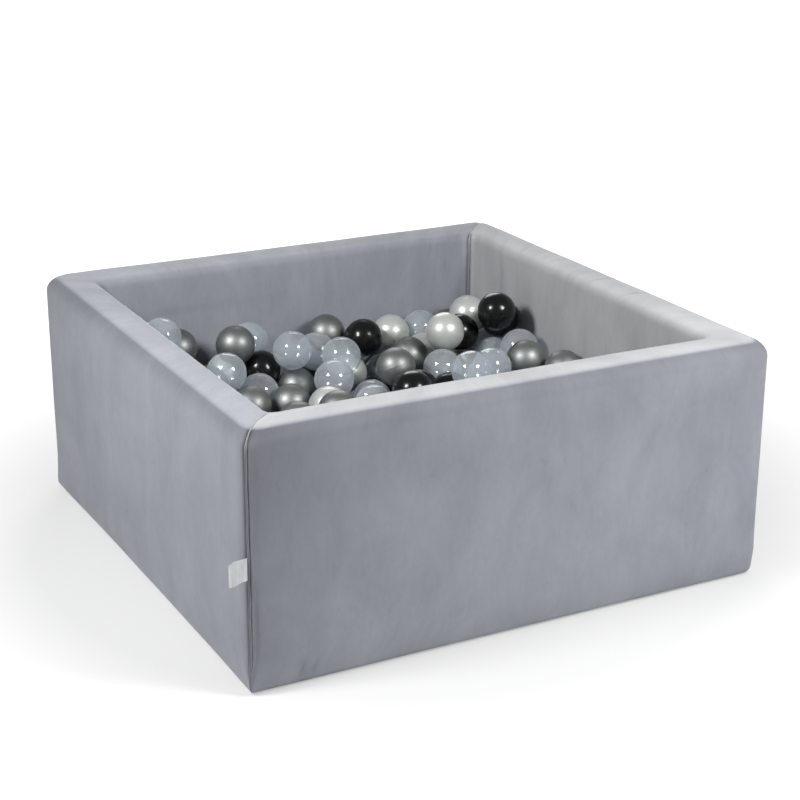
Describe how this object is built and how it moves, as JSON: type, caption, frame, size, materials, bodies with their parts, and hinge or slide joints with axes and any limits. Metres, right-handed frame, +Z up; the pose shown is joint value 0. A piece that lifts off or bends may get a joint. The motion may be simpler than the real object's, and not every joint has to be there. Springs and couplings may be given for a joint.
{
  "type": "ball pit",
  "caption": "Square foam ball pit with a soft velvet cover, open at the top and filled with loose plastic balls in pearl, silver, black and clear.",
  "frame": {"origin": "centre of the pit's underside, on the base panel's flat face", "axes": "+X to the right along the front wall, +Y to the back, +Z up out of the pit"},
  "size_m": [0.9162, 0.9028, 0.4027],
  "materials": {
    "velvet": "velvet",
    "foam": "matte",
    "lining": "matte",
    "satin": "satin",
    "zip_tape": "matte",
    "zip_teeth": "satin",
    "zip_metal": "satin",
    "ball_pearl": "pearl",
    "ball_silver": "metallic satin",
    "ball_black": "gloss",
    "ball_clear": "clear gloss",
    "lower_balls": "gloss"
  },
  "bodies": {
    "pit": {"base_panel": "lining", "foam_floor": "foam", "floor_cover": "velvet", "foam_wall_front": "foam", "foam_wall_back": "foam", "foam_wall_left": "foam", "foam_wall_right": "foam", "cover_front_right": "velvet", "cover_back_left": "velvet", "welt_near_left": "velvet", "welt_far_right": "velvet", "zip_tape_lower": "zip_tape", "zip_tape_upper": "zip_tape", "zip_tooth_chain": "zip_teeth", "zip_stop_left": "zip_metal", "zip_stop_right": "zip_metal", "ball_bed": "lower_balls", "ball_black_back": "ball_black", "ball_black_front_b": "ball_black", "ball_black_front_c": "ball_black", "ball_black_left": "ball_black", "ball_black_wall": "ball_black", "ball_clear_back_a": "ball_clear", "ball_clear_front_a": "ball_clear", "ball_clear_front_b": "ball_clear", "ball_clear_front_d": "ball_clear", "ball_clear_left_a": "ball_clear", "ball_clear_mid_b": "ball_clear", "ball_clear_near_a": "ball_clear", "ball_clear_right_a": "ball_clear", "ball_clear_right_b": "ball_clear", "ball_pearl_front_a": "ball_pearl", "ball_silver_back_b": "ball_silver", "ball_silver_front_b": "ball_silver", "ball_silver_left_b": "ball_silver", "ball_silver_mid": "ball_silver"},
    "tag": {"satin_tag": "satin"},
    "slider": {"zip_slider": "zip_metal"},
    "pull": {"zip_pull": "zip_metal"},
    "ball_black_front_a": {"ball_black_front_a": "ball_black"},
    "ball_black_mid": {"ball_black_mid": "ball_black"},
    "ball_black_top": {"ball_black_top": "ball_black"},
    "ball_clear_back_b": {"ball_clear_back_b": "ball_clear"},
    "ball_clear_back_c": {"ball_clear_back_c": "ball_clear"},
    "ball_clear_front_c": {"ball_clear_front_c": "ball_clear"},
    "ball_clear_left_b": {"ball_clear_left_b": "ball_clear"},
    "ball_clear_left_c": {"ball_clear_left_c": "ball_clear"},
    "ball_clear_mid_a": {"ball_clear_mid_a": "ball_clear"},
    "ball_clear_near_b": {"ball_clear_near_b": "ball_clear"},
    "ball_pearl_back": {"ball_pearl_back": "ball_pearl"},
    "ball_pearl_corner": {"ball_pearl_corner": "ball_pearl"},
    "ball_pearl_front_b": {"ball_pearl_front_b": "ball_pearl"},
    "ball_silver_back_a": {"ball_silver_back_a": "ball_silver"},
    "ball_silver_centre_a": {"ball_silver_centre_a": "ball_silver"},
    "ball_silver_centre_b": {"ball_silver_centre_b": "ball_silver"},
    "ball_silver_front_a": {"ball_silver_front_a": "ball_silver"},
    "ball_silver_front_c": {"ball_silver_front_c": "ball_silver"},
    "ball_silver_left_a": {"ball_silver_left_a": "ball_silver"},
    "ball_silver_right_a": {"ball_silver_right_a": "ball_silver"},
    "ball_silver_right_b": {"ball_silver_right_b": "ball_silver"}
  },
  "joints": [
    {"name": "tag_flap", "type": "hinge", "parent": "pit", "child": "tag", "pos_m": [-0.43728, -0.43728, 0.198], "axis": [0, 0, 1], "range_deg": [-50, 148]},
    {"name": "zip_run", "type": "slide", "parent": "pit", "child": "slider", "axis": [-1, 0, 0], "range_m": [0, 0.702]},
    {"name": "pull_turn", "type": "hinge", "parent": "slider", "child": "pull", "pos_m": [0.3512, 0.45111, 0.0386], "axis": [0, 0, -1], "range_deg": [0, 178]},
    {"name": "lift_black_front_a", "type": "slide", "parent": "pit", "child": "ball_black_front_a", "axis": [0, 0, 1], "range_m": [0, 0.3]},
    {"name": "lift_black_mid", "type": "slide", "parent": "pit", "child": "ball_black_mid", "axis": [0, 0, 1], "range_m": [0, 0.3]},
    {"name": "lift_black_top", "type": "slide", "parent": "pit", "child": "ball_black_top", "axis": [0, 0, 1], "range_m": [0, 0.3]},
    {"name": "lift_clear_back_b", "type": "slide", "parent": "pit", "child": "ball_clear_back_b", "axis": [0, 0, 1], "range_m": [0, 0.3]},
    {"name": "lift_clear_back_c", "type": "slide", "parent": "pit", "child": "ball_clear_back_c", "axis": [0, 0, 1], "range_m": [0, 0.3]},
    {"name": "lift_clear_front_c", "type": "slide", "parent": "pit", "child": "ball_clear_front_c", "axis": [0, 0, 1], "range_m": [0, 0.3]},
    {"name": "lift_clear_left_b", "type": "slide", "parent": "pit", "child": "ball_clear_left_b", "axis": [0, 0, 1], "range_m": [0, 0.3]},
    {"name": "lift_clear_left_c", "type": "slide", "parent": "pit", "child": "ball_clear_left_c", "axis": [0, 0, 1], "range_m": [0, 0.3]},
    {"name": "lift_clear_mid_a", "type": "slide", "parent": "pit", "child": "ball_clear_mid_a", "axis": [0, 0, 1], "range_m": [0, 0.3]},
    {"name": "lift_clear_near_b", "type": "slide", "parent": "pit", "child": "ball_clear_near_b", "axis": [0, 0, 1], "range_m": [0, 0.3]},
    {"name": "lift_pearl_back", "type": "slide", "parent": "pit", "child": "ball_pearl_back", "axis": [0, 0, 1], "range_m": [0, 0.3]},
    {"name": "lift_pearl_corner", "type": "slide", "parent": "pit", "child": "ball_pearl_corner", "axis": [0, 0, 1], "range_m": [0, 0.3]},
    {"name": "lift_pearl_front_b", "type": "slide", "parent": "pit", "child": "ball_pearl_front_b", "axis": [0, 0, 1], "range_m": [0, 0.3]},
    {"name": "lift_silver_back_a", "type": "slide", "parent": "pit", "child": "ball_silver_back_a", "axis": [0, 0, 1], "range_m": [0, 0.3]},
    {"name": "lift_silver_centre_a", "type": "slide", "parent": "pit", "child": "ball_silver_centre_a", "axis": [0, 0, 1], "range_m": [0, 0.3]},
    {"name": "lift_silver_centre_b", "type": "slide", "parent": "pit", "child": "ball_silver_centre_b", "axis": [0, 0, 1], "range_m": [0, 0.3]},
    {"name": "lift_silver_front_a", "type": "slide", "parent": "pit", "child": "ball_silver_front_a", "axis": [0, 0, 1], "range_m": [0, 0.3]},
    {"name": "lift_silver_front_c", "type": "slide", "parent": "pit", "child": "ball_silver_front_c", "axis": [0, 0, 1], "range_m": [0, 0.3]},
    {"name": "lift_silver_left_a", "type": "slide", "parent": "pit", "child": "ball_silver_left_a", "axis": [0, 0, 1], "range_m": [0, 0.3]},
    {"name": "lift_silver_right_a", "type": "slide", "parent": "pit", "child": "ball_silver_right_a", "axis": [0, 0, 1], "range_m": [0, 0.3]},
    {"name": "lift_silver_right_b", "type": "slide", "parent": "pit", "child": "ball_silver_right_b", "axis": [0, 0, 1], "range_m": [0, 0.3]}
  ]
}
